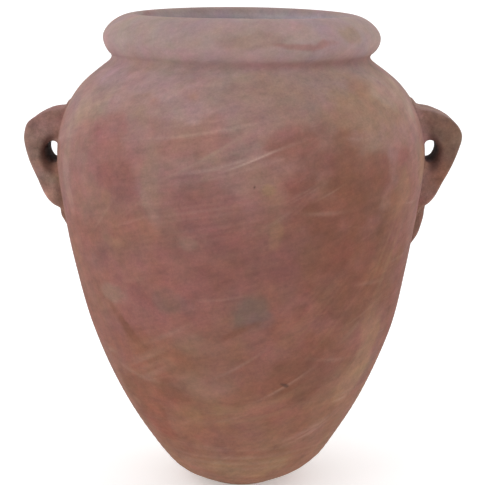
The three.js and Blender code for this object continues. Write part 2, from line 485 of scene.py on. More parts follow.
@dataclass(frozen=True)
class Paint:
    """Works out the clay's colour at any place on the jar."""

    patches: tuple[Patch, ...]
    seed: int = 7
    back_count: int = 70
    scratch_count: int = 100
    back: tuple[float, float] = (74.0, 286.0)  # degrees between which the back's patches lie
    back_lift: float = 0.05  # metres that they may lie above or below their models
    carry_turn: float = 3.0  # degrees that noise carries the patches' edges round
    carry_lift: float = 0.010  # metres that it carries them up or down
    wash: tuple[tuple[float, int, int, int], ...] = (
        (0.00, 143, 103, 81), (0.08, 138, 97, 77), (0.16, 137, 95, 77), (0.25, 136, 91, 78),
        (0.36, 135, 90, 80), (0.45, 138, 94, 84), (0.50, 142, 101, 93), (0.55, 147, 109, 101),
        (0.60, 156, 121, 112), (0.65, 156, 125, 116), (0.70, 162, 136, 131), (0.75, 166, 141, 136),
    )

    def all_patches(self) -> list[Patch]:
        """The patches of the front, more like them round the back, and fine scratches all round.

        Returns:
            The patches in the order in which they are laid.
        """
        rng = np.random.default_rng(self.seed)
        scattered = []
        for _ in range(self.back_count):
            model = self.patches[int(rng.integers(len(self.patches)))]
            azimuth = float(rng.uniform(*self.back))
            lift = float(rng.uniform(-self.back_lift, self.back_lift))
            scattered.append(replace(model, azimuth=azimuth, height=model.height + lift))
        for _ in range(self.scratch_count):
            scattered.append(Wipe(
                tint=Tint.BEIGE,
                azimuth=float(rng.uniform(-180.0, 180.0)),
                height=float(rng.uniform(0.07, 0.62)),
                width=float(rng.uniform(0.012, 0.048)),
                depth=float(rng.uniform(0.0022, 0.0045)),
                strength=float(rng.uniform(0.20, 0.48)),
                climb=float(rng.uniform(-14.0, 46.0)),
                bend=float(rng.uniform(0.0, 1.5)),
                bristle=0.0026,
            ))
        return [*self.patches, *scattered]

    def outside(self, points: np.ndarray) -> np.ndarray:
        """The colour of the outside, as display values 0 to 1.

        A wash that pales towards the rim is laid first, clouded a little; each patch is laid
        over it in turn. Cloudy noise carries the patches' edges about.

        Args:
            points: Places on the outside, n by 3, in metres.

        Returns:
            Colours, n by 3.
        """
        drift = cloud(points, 0.060, self.seed + 1, 5)
        rise = cloud(points, 0.055, self.seed + 2, 5)
        places = Wrapped(
            azimuth=np.degrees(np.arctan2(points[:, 0], -points[:, 1])),
            height=points[:, 2],
            radius=np.maximum(np.hypot(points[:, 0], points[:, 1]), 0.02),
            mottle=cloud(points, 0.030, self.seed + 3, 5),
        )
        carried = places.drifted(self.carry_turn * drift, self.carry_lift * rise)
        heights, *channels = np.array(self.wash).T
        colour = joined(*(np.interp(carried.height, heights, channel) for channel in channels))
        warm = cloud(points, 0.050, self.seed + 4, 4)[:, None]
        sandy = cloud(points, 0.060, self.seed + 5, 4)[:, None]
        colour += warm * (3.5, -3.5, -2.0) + sandy * (1.0, 2.0, -5.0)
        for patch in self.all_patches():
            cover = patch.cover(carried if isinstance(patch, Blotch) else places)[:, None]
            colour += cover * (patch.tint.levels - colour)
        # painted shade: a thin dark line laid in the groove under the rim, darker towards the right
        colour += self.painted_groove_shade(points, places)[:, None] * (Tint.PLUM.levels - colour)
        return np.clip(colour / 255.0, 0.0, 1.0)

    def painted_groove_shade(self, points: np.ndarray, places: Wrapped) -> np.ndarray:
        """How strongly the painted shade lies as a thin dark line in the groove under the rim.

        It is a Gaussian over the height, kept to the bottom of the groove, and it grows
        stronger from the front's left to its right.

        Args:
            points: Places on the outside, n by 3, in metres.
            places: The same places, given round the jar.

        Returns:
            One value for each place, 0 to 1.
        """
        middle, half_height = 0.685, 0.007
        deep, shallow = 0.198, 0.214
        faint, growth = 0.06, 0.34
        line = np.exp(-(((points[:, 2] - middle) / half_height) ** 2))
        strength = faint + growth * smooth_step(-40.0, 20.0, places.azimuth)
        return line * smooth_step(shallow, deep, places.radius) * strength

    def inside(self, points: np.ndarray) -> np.ndarray:
        """The inside: plain clay below, and at the mouth a pale clouded grey painted for its cool
        shade.

        Args:
            points: Places on the inside, n by 3, in metres.

        Returns:
            Colours as display values, n by 3.
        """
        # painted light: the grey at the mouth stands in for the cool light in its shade
        grey, deep = Tint.GREY.levels, Tint.DEEP.levels
        paler = (26.0, 36.0, 44.0)  # how much paler the mouth is at its right
        share = 0.5 + 0.5 * cloud(points, 0.110, self.seed + 7)[:, None]
        right = smooth_step(-0.06, 0.10, points[:, 0])[:, None] * paler
        mouth = grey + share * (Tint.MOUTH_SHADE_DUSK.levels - grey) + right
        high = smooth_step(0.690, 0.715, points[:, 2])[:, None]
        return (deep + high * (mouth - deep)) / 255.0


def put_colour(piece: bpy.types.Object, shown: np.ndarray) -> None:
    """Stores display colours on a piece's points, as linear values, under the name clay.

    Args:
        piece: The piece.
        shown: A colour for each point, n by 3, as display values 0 to 1.
    """
    linear = np.ones((len(shown), 4))
    linear[:, :3] = to_linear(shown)
    attribute = piece.data.attributes.new("clay", "FLOAT_COLOR", "POINT")
    attribute.data.foreach_set("color", linear.astype(np.float32).ravel())


# ---- finishes ----------------------------------------------------------------------------


@dataclass(frozen=True)
class Wiring:
    """Adds shader nodes to one material and joins them up."""

    tree: bpy.types.NodeTree

    def add(
        self, kind: str, sockets: dict[str, object] | None = None, **settings: object
    ) -> bpy.types.Node:
        """Adds a node.

        Args:
            kind: The node's kind.
            sockets: What is fed to each of its sockets, by name.
            **settings: Its properties.

        Returns:
            The new node.
        """
        node = self.tree.nodes.new(kind)
        for name, value in settings.items():
            setattr(node, name, value)
        for name, source in (sockets or {}).items():
            self.feed(node.inputs[name], source)
        return node

    def feed(self, socket: bpy.types.NodeSocket, source: object) -> None:
        """Joins a source to a socket, or sets the socket's own value.

        Args:
            socket: The socket.
            source: Another node's socket, or a value.
        """
        if isinstance(source, bpy.types.NodeSocket):
            self.tree.links.new(source, socket)
        else:
            socket.default_value = source

    def sum_of(self, kind: str, *sources: object) -> bpy.types.NodeSocket:
        """Adds a math node.

        Args:
            kind: The sum that it works out.
            *sources: What it is worked out on, one to three sockets or values.

        Returns:
            The socket of its result.
        """
        node = self.add("ShaderNodeMath", operation=kind)
        for socket, source in zip(node.inputs, sources):
            self.feed(socket, source)
        return node.outputs[0]

    def vector_of(self, kind: str, *sources: object) -> bpy.types.NodeSocket:
        """Adds a vector math node.

        Args:
            kind: The sum that it works out.
            *sources: What it is worked out on: vectors, or a vector and a number for SCALE.

        Returns:
            The socket of its result.
        """
        node = self.add("ShaderNodeVectorMath", operation=kind)
        sockets = (node.inputs[0], node.inputs["Scale"]) if kind == "SCALE" else node.inputs[:3]
        for socket, source in zip(sockets, sources):
            self.feed(socket, source)
        return node.outputs[0]

    def noise(
        self, place: object, scale: float, detail: float, rough: float, fourth: object = None
    ) -> bpy.types.Node:
        """Cloudy noise at a place, its widest cells 1 / scale metres wide.

        Args:
            place: Where it is read.
            scale: How many of its widest cells lie in a metre.
            detail: How many finer layers it has.
            rough: How strong each layer is beside the one before.
            fourth: A fourth coordinate, for noise in four dimensions.

        Returns:
            The noise node.
        """
        sockets = {"Vector": place, "Scale": scale, "Detail": detail, "Roughness": rough}
        if fourth is None:
            return self.add("ShaderNodeTexNoise", sockets)
        return self.add("ShaderNodeTexNoise", {**sockets, "W": fourth}, noise_dimensions="4D")

    def varied(
        self, colour: object, noise: bpy.types.Node, light: float = 0.0, hue: float = 0.0
    ) -> bpy.types.NodeSocket:
        """A colour lightened and darkened, and turned in hue, by a noise.

        The colour is multiplied by 1 + light * (value - 1/2), the same for red, green and
        blue, and by 1 + hue * (channel - 1/2), which differs between them.

        Args:
            colour: The colour to vary.
            noise: The noise node.
            light: How much its value lightens.
            hue: How much its three channels colour.

        Returns:
            The varied colour.
        """
        tint = self.vector_of("MULTIPLY_ADD", noise.outputs["Color"], (hue,) * 3, (1 - hue / 2,) * 3)
        level = self.sum_of("MULTIPLY_ADD", noise.outputs["Fac"], light, 1 - light / 2)
        return self.vector_of("SCALE", self.vector_of("MULTIPLY", colour, tint), level)


@dataclass(frozen=True)
class FiredClay:
    """Matt fired clay: the painted colour, mottled at every size, wiped and gritty."""

    name: str
    slot: str
    mottle: float = 1.45  # how much the clouding lightens and darkens
    hue: float = 0.30  # how much it turns the hue
    grit: float = 1.0  # how strongly the surface is broken up
    streak: float = 0.12  # how much the wiping lightens and darkens
    brush: float = 0.50  # how much of the clouding is drawn out along the strokes
    turn_rise: float = 0.42  # metres that a wiping stroke climbs in one turn of the jar

    def wound(
        self, wiring: Wiring, place: object, cell: float, length: float, detail: float, rough: float
    ) -> bpy.types.Node:
        """Noise drawn out along strokes that climb all round the jar, with no seam.

        The place round the jar and the place across the strokes are both wound on circles, and
        noise in four dimensions is read at those two circles, so it closes on itself.

        Args:
            wiring: The material's nodes.
            place: The object coordinates.
            cell: Size of the widest cell across the strokes, in metres.
            length: Its size along the strokes at the jar's belly, in metres.
            detail: How many finer layers the noise has.
            rough: How strong each layer is beside the one before.

        Returns:
            The noise node.
        """
        belly = 0.28  # metres from the axis
        split = wiring.add("ShaderNodeSeparateXYZ", {"Vector": place})
        turn = wiring.sum_of("ARCTAN2", split.outputs["Y"], split.outputs["X"])
        rise = wiring.sum_of("MULTIPLY", split.outputs["Z"], 2.0 * math.pi / self.turn_rise)
        across = wiring.sum_of("SUBTRACT", rise, turn)
        tight, loose = self.turn_rise / (2.0 * math.pi * cell), belly / length
        x, y, z, w = (
            wiring.sum_of("MULTIPLY", wiring.sum_of(kind, angle), size)
            for kind, angle, size in (
                ("COSINE", across, tight),
                ("SINE", across, tight),
                ("COSINE", turn, loose),
                ("SINE", turn, loose),
            )
        )
        coil = wiring.add("ShaderNodeCombineXYZ", {"X": x, "Y": y, "Z": z})
        place = coil.outputs[0]
        return wiring.noise(place, scale=1.0, detail=detail, rough=rough, fourth=w)

    def material(self) -> bpy.types.Material:
        """Builds the shader: painted colour, mottling, streaks, then roughness and bump.

        Returns:
            The new material.
        """
        fine_relief, streak_relief = 0.5, 0.4  # how much each stands out beside the clouding
        least_rough, more_rough = 0.82, 0.12
        material = bpy.data.materials.new(self.name)
        material.use_nodes = True
        material.node_tree.nodes.clear()
        wiring = Wiring(material.node_tree)
        place = wiring.add("ShaderNodeTexCoord").outputs["Object"]
        painted = wiring.add("ShaderNodeAttribute", attribute_name="clay").outputs["Color"]
        cloudy = wiring.noise(place, scale=30.0, detail=7.0, rough=0.84)
        brushed = self.wound(wiring, place, cell=0.022, length=0.065, detail=6.0, rough=0.80)
        streaks = self.wound(wiring, place, cell=0.011, length=0.150, detail=3.0, rough=0.6)
        fine = wiring.noise(place, scale=330.0, detail=3.0, rough=0.7)
        tinting = wiring.noise(place, scale=24.0, detail=4.0, rough=0.62)
        colour = wiring.varied(painted, cloudy, light=(1.1 - self.brush) * self.mottle, hue=0.08)
        colour = wiring.varied(colour, tinting, hue=self.hue)
        colour = wiring.varied(colour, brushed, light=self.brush * self.mottle, hue=0.10)
        colour = wiring.varied(colour, streaks, light=2.0 * self.streak)
        colour = wiring.varied(colour, fine, light=0.34)

        relief = wiring.sum_of("MULTIPLY_ADD", fine.outputs["Fac"], fine_relief, cloudy.outputs["Fac"])
        relief = wiring.sum_of("MULTIPLY_ADD", streaks.outputs["Fac"], streak_relief, relief)
        bump = wiring.add("ShaderNodeBump", {
            "Strength": 0.35 * self.grit, "Distance": 0.0025, "Height": relief})
        clay = wiring.add("ShaderNodeBsdfPrincipled", {
            "Base Color": colour,
            "Roughness": wiring.sum_of("MULTIPLY_ADD", fine.outputs["Fac"], more_rough, least_rough),
            "Specular IOR Level": 0.25,
            "Diffuse Roughness": 0.6,
            "Normal": bump.outputs[0],
        })
        wiring.add("ShaderNodeOutputMaterial", {"Surface": clay.outputs[0]})
        return material


WALL_CLAY = FiredClay("wall clay", "wall_clay")
RIM_CLAY = FiredClay("rim clay", "rim_clay", mottle=0.9, grit=0.8)
HANDLE_CLAY = FiredClay("handle clay", "handle_clay", mottle=2.0, grit=2.2, streak=0.0, brush=0.1)
FOOT_CLAY = FiredClay("foot clay", "foot_clay")


# ---- the jar's form ----------------------------------------------------------------------


@dataclass(frozen=True)
class JarForm:
    """The jar's outline and the small unevenness of a form raised by hand, in metres."""

    stations: tuple[tuple[float, float], ...] = (
        (0.000, 0.054), (0.030, 0.109), (0.080, 0.150), (0.160, 0.1970), (0.260, 0.2380),
        (0.360, 0.2622), (0.450, 0.2783), (0.530, 0.2870), (0.590, 0.2775), (0.640, 0.2487),
        (0.684, 0.1952),
    )
    lean: tuple[tuple[float, float], ...] = (
        (0.00, -0.0005), (0.02, 0.0005), (0.05, 0.0036), (0.10, 0.0027), (0.26, 0.0025),
        (0.33, 0.0008), (0.40, -0.0002), (0.50, 0.0000), (0.62, -0.0006), (0.67, -0.0016),
        (0.70, 0.0008), (0.75, 0.0016),
    )  # how far to the right the hand-raised wall wanders at each height
    wall: float = 0.024
    height: float = 0.750
    crest_radius: float = 0.169
    roll_reach: float = 0.0455
    roll_half_height: float = 0.0366
    inner_bend: float = 0.022
    roll_power: float = 1.82  # 2 would be an ellipse; less is more peaked at the crest
    mouth_sag: float = 0.0021  # how far its crest dips at its two sides
    mouth_tilt: float = math.radians(0.58)  # the rim's left side is the higher
    groove_start: float = 0.009  # how far below the neck the groove's bend starts
    groove_end: float = math.radians(-38.0)  # where on the roll it ends

    def outer_radius(self, z: np.ndarray) -> np.ndarray:
        """Outside radius at a height: a cubic through the stations, smooth at each.

        Args:
            z: Heights in metres, from the foot to the groove under the rim.

        Returns:
            The radius at each height, in metres.
        """
        heights, radii = np.array(self.stations).T
        slopes = np.empty_like(radii)
        slopes[1:-1] = (radii[2:] - radii[:-2]) / (heights[2:] - heights[:-2])
        slopes[0] = (radii[1] - radii[0]) / (heights[1] - heights[0])
        slopes[-1] = (radii[-1] - radii[-2]) / (heights[-1] - heights[-2])
        i = np.clip(np.searchsorted(heights, z, side="right") - 1, 0, len(heights) - 2)
        span = heights[i + 1] - heights[i]
        t = (z - heights[i]) / span
        ease = t * t * (3.0 - 2.0 * t)
        bend = t * (1.0 - t) * span * ((1.0 - t) * slopes[i] - t * slopes[i + 1])
        return radii[i] + (radii[i + 1] - radii[i]) * ease + bend

    def inner_radius(self, z: np.ndarray) -> np.ndarray:
        """Inside radius at a height: one wall in from the outside, square to it."""
        return self.outer_radius(z) - self.wall * np.hypot(1.0, self.steepness(z))

    def steepness(self, z: np.ndarray) -> np.ndarray:
        """How fast the outside radius grows with height, measured over 2 mm.

        Args:
            z: Heights in metres, from the foot to the groove under the rim.

        Returns:
            Metres of radius for each metre of height.
        """
        step = 0.001
        low, high = np.maximum(z - step, 0.0), np.minimum(z + step, self.neck_height)
        return (self.outer_radius(high) - self.outer_radius(low)) / (high - low)

    @property
    def neck_height(self) -> float:
        """Height of the groove under the rim."""
        return self.stations[-1][0]

    def groove(self, t: np.ndarray) -> np.ndarray:
        """The soft bend of the groove under the rim, from the neck (0) to the roll (1).

        It slides from 9 mm below the corner on the neck, past the corner, to the roll 38
        degrees below its middle.

        Args:
            t: How far along the bend each point is.

        Returns:
            Points [radius, height], one for each t.
        """
        low = self.neck_height - self.groove_start
        start = np.array((self.outer_radius(np.array(low)), low))
        corner = np.array((self.stations[-1][1], self.neck_height))
        return slide(start, corner, self.roll(np.array(self.groove_end)), t)

    def roll(self, angle: np.ndarray) -> np.ndarray:
        """A point on the rim's roll, 0 at its middle, 90 degrees at its crest.

        It is an ellipse, but its upper half is a superellipse: share of reach to the power
        plus share of height to the power is 1, drawn in towards the crest.

        Args:
            angle: Angles round the roll, in radians.

        Returns:
            Points [radius, height], one for each angle.
        """
        out, up = np.cos(angle), np.sin(angle)
        size = (np.abs(out) ** self.roll_power + np.abs(up) ** self.roll_power) ** (1 / self.roll_power)
        draw = np.where(up > 0.0, size, 1.0)
        radius = self.crest_radius + self.roll_reach * out / draw
        height = self.height + self.roll_half_height * (up / draw - 1.0)
        return joined(radius, height)

    def mouth(self, angle: np.ndarray) -> np.ndarray:
        """A point on the tighter bend inside the crest, 90 degrees at the crest, 180 inside.

        Args:
            angle: Angles round the bend, in radians.

        Returns:
            Points [radius, height], one for each angle.
        """
        reach = self.crest_radius - self.inner_radius(np.array(self.neck_height))
        radius = self.crest_radius + reach * np.cos(angle)
        return joined(radius, self.height + self.inner_bend * (np.sin(angle) - 1.0))

    def raised(self, outline: np.ndarray, azimuth: np.ndarray, outside: np.ndarray) -> np.ndarray:
        """Turns an outline round the axis with the unevenness of hand work.

        The radius gains slow waves round the girth, soft lumps, and the fine spiral ridges of
        throwing; the wall leans, and the mouth tilts and dips.

        Args:
            outline: Points [radius, height], n by 2.
            azimuth: Angles about the axis, m, in radians.
            outside: For each point, 1 on the outside and 0 on the inside.

        Returns:
            Places, n by m by 3.
        """
        ridge_step, groove_step = 0.0095, 0.0150  # the throwing ridges outside, grooves inside
        ridge_height, low_ridge_height, groove_depth = 0.00006, 0.00022, 0.0005
        oval, three_sided, lump_height = 0.0008, 0.0005, 0.0008
        radius, height = (outline[:, i][:, None] for i in range(2))
        turn, side = azimuth[None, :], outside[:, None]
        away = np.clip(radius / 0.10, 0.0, 1.0) * smooth_step(0.0, 0.012, height)
        plain = joined(radius * np.cos(turn), radius * np.sin(turn), height)
        lumps = cloud(plain.reshape(-1, 3), 0.120, 31, 2).reshape(plain.shape[:2])
        ripple = cloud(plain.reshape(-1, 3), 0.060, 32, 2).reshape(plain.shape[:2])
        waves = oval * np.sin(2 * turn - 0.5) + three_sided * np.sin(3 * turn - 4.0 * height)
        low_wall = smooth_step(0.24, 0.06, height)
        ridge = np.sin(2 * np.pi * height / ridge_step + turn + 2.2 * ripple)
        groove = np.sin(2 * np.pi * height / groove_step - turn + 1.5 * ripple)
        thrown = (ridge_height + low_ridge_height * low_wall) * ridge * side
        thrown = thrown + groove_depth * groove * (1.0 - side)
        grown = radius + away * (waves + lump_height * lumps + thrown)
        heights, offsets = np.array(self.lean).T
        x = grown * np.cos(turn) + np.interp(height, heights, offsets)
        tilt = smooth_step(0.66, 0.72, height) * math.tan(self.mouth_tilt)
        dip = self.mouth_sag * (x / self.crest_radius) ** 2 * smooth_step(0.700, 0.745, height)
        return joined(x, grown * np.sin(turn), height - tilt * x - dip)

    def stand_off(self, points: np.ndarray) -> np.ndarray:
        """How far each place stands off the outside wall, square to it.

        Args:
            points: Places, any shape by 3, in metres.

        Returns:
            The distance for each place, in metres, less than 0 inside the wall.
        """
        height = np.clip(points[..., 2], 0.0, self.neck_height)
        radius = np.hypot(points[..., 0], points[..., 1])
        return (radius - self.outer_radius(height)) / np.hypot(1.0, self.steepness(height))


def spaced(start: float, end: float, step: float) -> np.ndarray:
    """Even values from start to end, both included, about a step apart."""
    return np.linspace(start, end, max(2, round(abs(end - start) / step) + 1))


@dataclass
class TurnedPiece:
    """Any piece of the jar turned about its axis: common making and dressing."""

    name: str
    form: JarForm
    paint: Paint
    finish: FiredClay
    columns: int = 720
    row_step: float = 0.0020
    inner_row_step: float = 0.0060
    open_middle: bool = True  # a ring, not a disc

    def outline(self) -> tuple[np.ndarray, np.ndarray]:
        """The closed outline [radius, height] and, for each point, 1 outside or 0 inside."""
        raise NotImplementedError

    def joint_point(self, height: float, depth: float) -> np.ndarray:
        """The lowest point of the V across the wall at a joint."""
        z = np.array(height)
        return np.array(((self.form.outer_radius(z) + self.form.inner_radius(z)) / 2, height - depth))

    def wall_up(self, low: float, high: float) -> np.ndarray:
        """Outside points from one height up to another."""
        z = spaced(low, high, self.row_step)
        return joined(self.form.outer_radius(z), z)

    def wall_down(self, high: float, low: float) -> np.ndarray:
        """Inside points from one height down to another."""
        z = spaced(high, low, self.inner_row_step)
        return joined(self.form.inner_radius(z), z)

    def build(self) -> bpy.types.Object:
        """Makes the piece, paints it, gives it its finish, sets it under the root body, hides its CAD
        node.

        Returns:
            The piece's object.
        """
        outline, outside = self.outline()
        rows = len(outline)
        azimuth = np.linspace(0.0, 2.0 * np.pi, self.columns, endpoint=False)
        points = self.form.raised(outline, azimuth, outside).reshape(-1, 3)
        share = np.repeat(outside, self.columns)
        if self.open_middle:
            quads = grid_quads(rows, self.columns, wrap_rows=True)
        else:
            points, quads = closed_tube(points, rows, self.columns)
            share = np.concatenate((share, outside[[0, -1]]))
        share = share[:, None]
        piece = build_mesh(self.name + "_clay", points, quads)
        shown, hidden = self.paint.outside(points), self.paint.inside(points)
        put_colour(piece, share * shown + (1.0 - share) * hidden)
        dress(piece, self.finish, self.name)
        return piece


def dress(piece: bpy.types.Object, finish: FiredClay, node: str) -> None:
    """Gives a piece its finish, sets it under the root body and hides the CAD node it stands for.

    Args:
        piece: The piece.
        finish: Its finish.
        node: The CAD node.
    """
    piece.data.materials.append(finish.material())
    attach(piece, "root")
    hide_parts(node)


JOINT_DEPTH = 0.008  # metres from a joint's edges down to the bottom of its V groove
SLIP = 0.0003  # metres between a tongue and its groove


@dataclass
class WallStage(TurnedPiece):
    """One thrown stage of the wall, between two luted joints."""

    seated: bool = True  # whether a V tongue seats it on the stage below

    def outline(self) -> tuple[np.ndarray, np.ndarray]:
        """Up the outside, over the V groove, down the inside and back over the tongue.

        Returns:
            The outline [radius, height] and, for each point, 1 outside or 0 inside.
        """
        low, high = stage_span(self.name)
        up = self.wall_up(low, high)
        if self.name == "neck_ring":
            clear = 0.0098  # the wall's own rows stop short of the groove's bend
            kept = up[up[:, 1] < self.form.neck_height - clear]
            up = np.concatenate((kept, self.form.groove(np.linspace(0.0, 0.5, 7))))
        down = self.wall_down(high, low)
        parts = [up, self.joint_point(high, JOINT_DEPTH)[None], down]
        sides = [np.ones(len(up)), np.zeros(1), np.zeros(len(down))]
        if self.seated:
            parts.append(self.joint_point(low, JOINT_DEPTH - SLIP)[None])
            sides.append(np.zeros(1))
        return np.concatenate(parts), np.concatenate(sides)


@dataclass
class RimRoll(TurnedPiece):
    """The fat rolled rim, seated on the neck."""

    row_step: float = 0.0018

    def outline(self) -> tuple[np.ndarray, np.ndarray]:
        """Out of the groove, round the roll, over the crest and down inside the mouth.

        Returns:
            The outline [radius, height] and, for each point, how far it is an outside one.
        """
        form = self.form
        turn = self.row_step / ((form.roll_reach + form.roll_half_height) / 2)
        bend = form.groove(np.linspace(0.5, 1.0, 9))
        roll = form.roll(spaced(form.groove_end, math.pi / 2, turn))[1:]
        mouth = form.mouth(spaced(math.pi / 2, math.pi, 2 * turn))[1:]
        throat = self.wall_down(form.neck_height, form.neck_height)[:1]
        down = np.linspace(mouth[-1], throat[0], 8)[1:]
        seat = self.joint_point(form.neck_height, JOINT_DEPTH - SLIP)[None]
        outline = np.concatenate((bend, roll, mouth, down, seat))
        inner = len(mouth) + len(down)
        side = np.ones(len(outline))
        side[-1 - inner : -1] = smooth_step(1.0, 0.0, np.linspace(0.0, 1.0, inner))
        side[-1] = 0.0
        return outline, side


@dataclass
class BaseSlab(TurnedPiece):
    """The flat slab under the wall, with its worn lower edge."""

    foot_edge: float = 0.005
    open_middle: bool = False

    def outline(self) -> tuple[np.ndarray, np.ndarray]:
        """From near the axis along the underside, round the edge, up the side, back over.

        Returns:
            The outline [radius, height] and, for each point, 1 outside or 0 inside.
        """
        low, high = stage_span(self.name)
        hub, under_step, over_step = 0.002, 0.006, 0.008
        foot = self.form.stations[0][1]
        under = joined(spaced(hub, foot - self.foot_edge, under_step), low)
        top = self.wall_up(low + self.foot_edge, high)
        edge = slide(under[-1], np.array((foot, low)), top[0], np.linspace(0.0, 1.0, 7)[1:])
        over = joined(spaced(top[-1, 0], hub, over_step)[1:], high)
        outline = np.concatenate((under, edge, top[1:], over))
        outside = np.ones(len(outline))
        outside[-len(over):] = 0.0
        return outline, outside


def stage_span(node: str) -> tuple[float, float]:
    """The heights of a turned piece's lower and upper joints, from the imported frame.

    Args:
        node: The piece's CAD node.

    Returns:
        The lower height and the upper one, in metres.
    """
    order = ("base_slab", "foot_ring", "lower_wall_ring", "belly_ring", "shoulder_ring", "neck_ring")
    place = order.index(node)
    low = 0.0 if place == 0 else float(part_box(order[place - 1])[1][2])
    return low, float(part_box(node)[1][2])


# ---- handles -----------------------------------------------------------------------------


class Side(Enum):
    """Which side of the jar a handle is on, as its turn about the axis."""

    RIGHT = 0.0
    LEFT = math.pi

    def turned(self, points: np.ndarray) -> np.ndarray:
        """Places on the right turned about the axis to this side."""
        return points * (math.cos(self.value), math.cos(self.value), 1.0)


def through(stations: np.ndarray, t: np.ndarray) -> np.ndarray:
    """A smooth curve through evenly numbered stations.

    Between two stations it is a cubic whose ends are level with the stations either side.

    Args:
        stations: Points, n by d.
        t: Places along the curve, 0 at the first station and 1 at the last.

    Returns:
        Points, one for each t.
    """
    place = np.clip(t, 0.0, 1.0) * (len(stations) - 1)
    i = np.clip(place.astype(int), 0, len(stations) - 2)
    f = (place - i)[:, None]
    before = stations[np.maximum(i - 1, 0)]
    start, end = stations[i], stations[i + 1]
    after = stations[np.minimum(i + 2, len(stations) - 1)]
    slope_in, slope_out = (end - before) / 2, (after - start) / 2
    ease = f * f * (3 - 2 * f)
    return start + (end - start) * ease + f * (1 - f) * ((1 - f) * slope_in - f * slope_out)


@dataclass(frozen=True)
class EarShape:
    """One side's own outline, side tint and wad, as the hand left them, and its painted top light."""

    outline: tuple[tuple[float, float], ...]  # [distance from the axis, height], top to heel
    # painted light: the top faces made paler, as if lit from above
    side_tint: tuple[int, int, int]
    lit_top_tint: tuple[int, int, int]
    gap_rise: float  # how much higher the finger gap sits
    heel_pale: float  # how much paler the heel is
    lit_top_spread: float  # how far the painted top light runs over the sides, 0 to 1
    wad_stand: float  # how far the wad under the heel stands off the wall
    wad_bottom: float  # the height where it ends
    wad_power: float  # how long it stays proud before it falls away


EARS = {
    Side.RIGHT: EarShape(
        outline=(
            (0.262, 0.6045), (0.286, 0.6050), (0.3045, 0.6000), (0.3270, 0.5870),
            (0.3390, 0.5690), (0.3380, 0.5500), (0.3285, 0.5230), (0.3135, 0.4935),
            (0.3005, 0.4690), (0.2870, 0.4560), (0.2680, 0.4500),
        ),
        side_tint=(126, 92, 78),
        lit_top_tint=(150, 121, 112),
        gap_rise=0.0032,
        heel_pale=0.070,
        lit_top_spread=0.0,
        wad_stand=0.0105,
        wad_bottom=0.388,
        wad_power=2.0,
    ),
    Side.LEFT: EarShape(
        outline=(
            (0.262, 0.6030), (0.286, 0.6030), (0.304, 0.5990), (0.3272, 0.5855),
            (0.3345, 0.5690), (0.3348, 0.5500), (0.3280, 0.5230), (0.3160, 0.4940),
            (0.3050, 0.4690), (0.2910, 0.4540), (0.2680, 0.4470),
        ),
        side_tint=(146, 112, 100),
        lit_top_tint=(154, 114, 108),
        gap_rise=0.0006,
        heel_pale=0.040,
        lit_top_spread=0.6,
        wad_stand=0.0085,
        wad_bottom=0.404,
        wad_power=1.0,
    ),
}


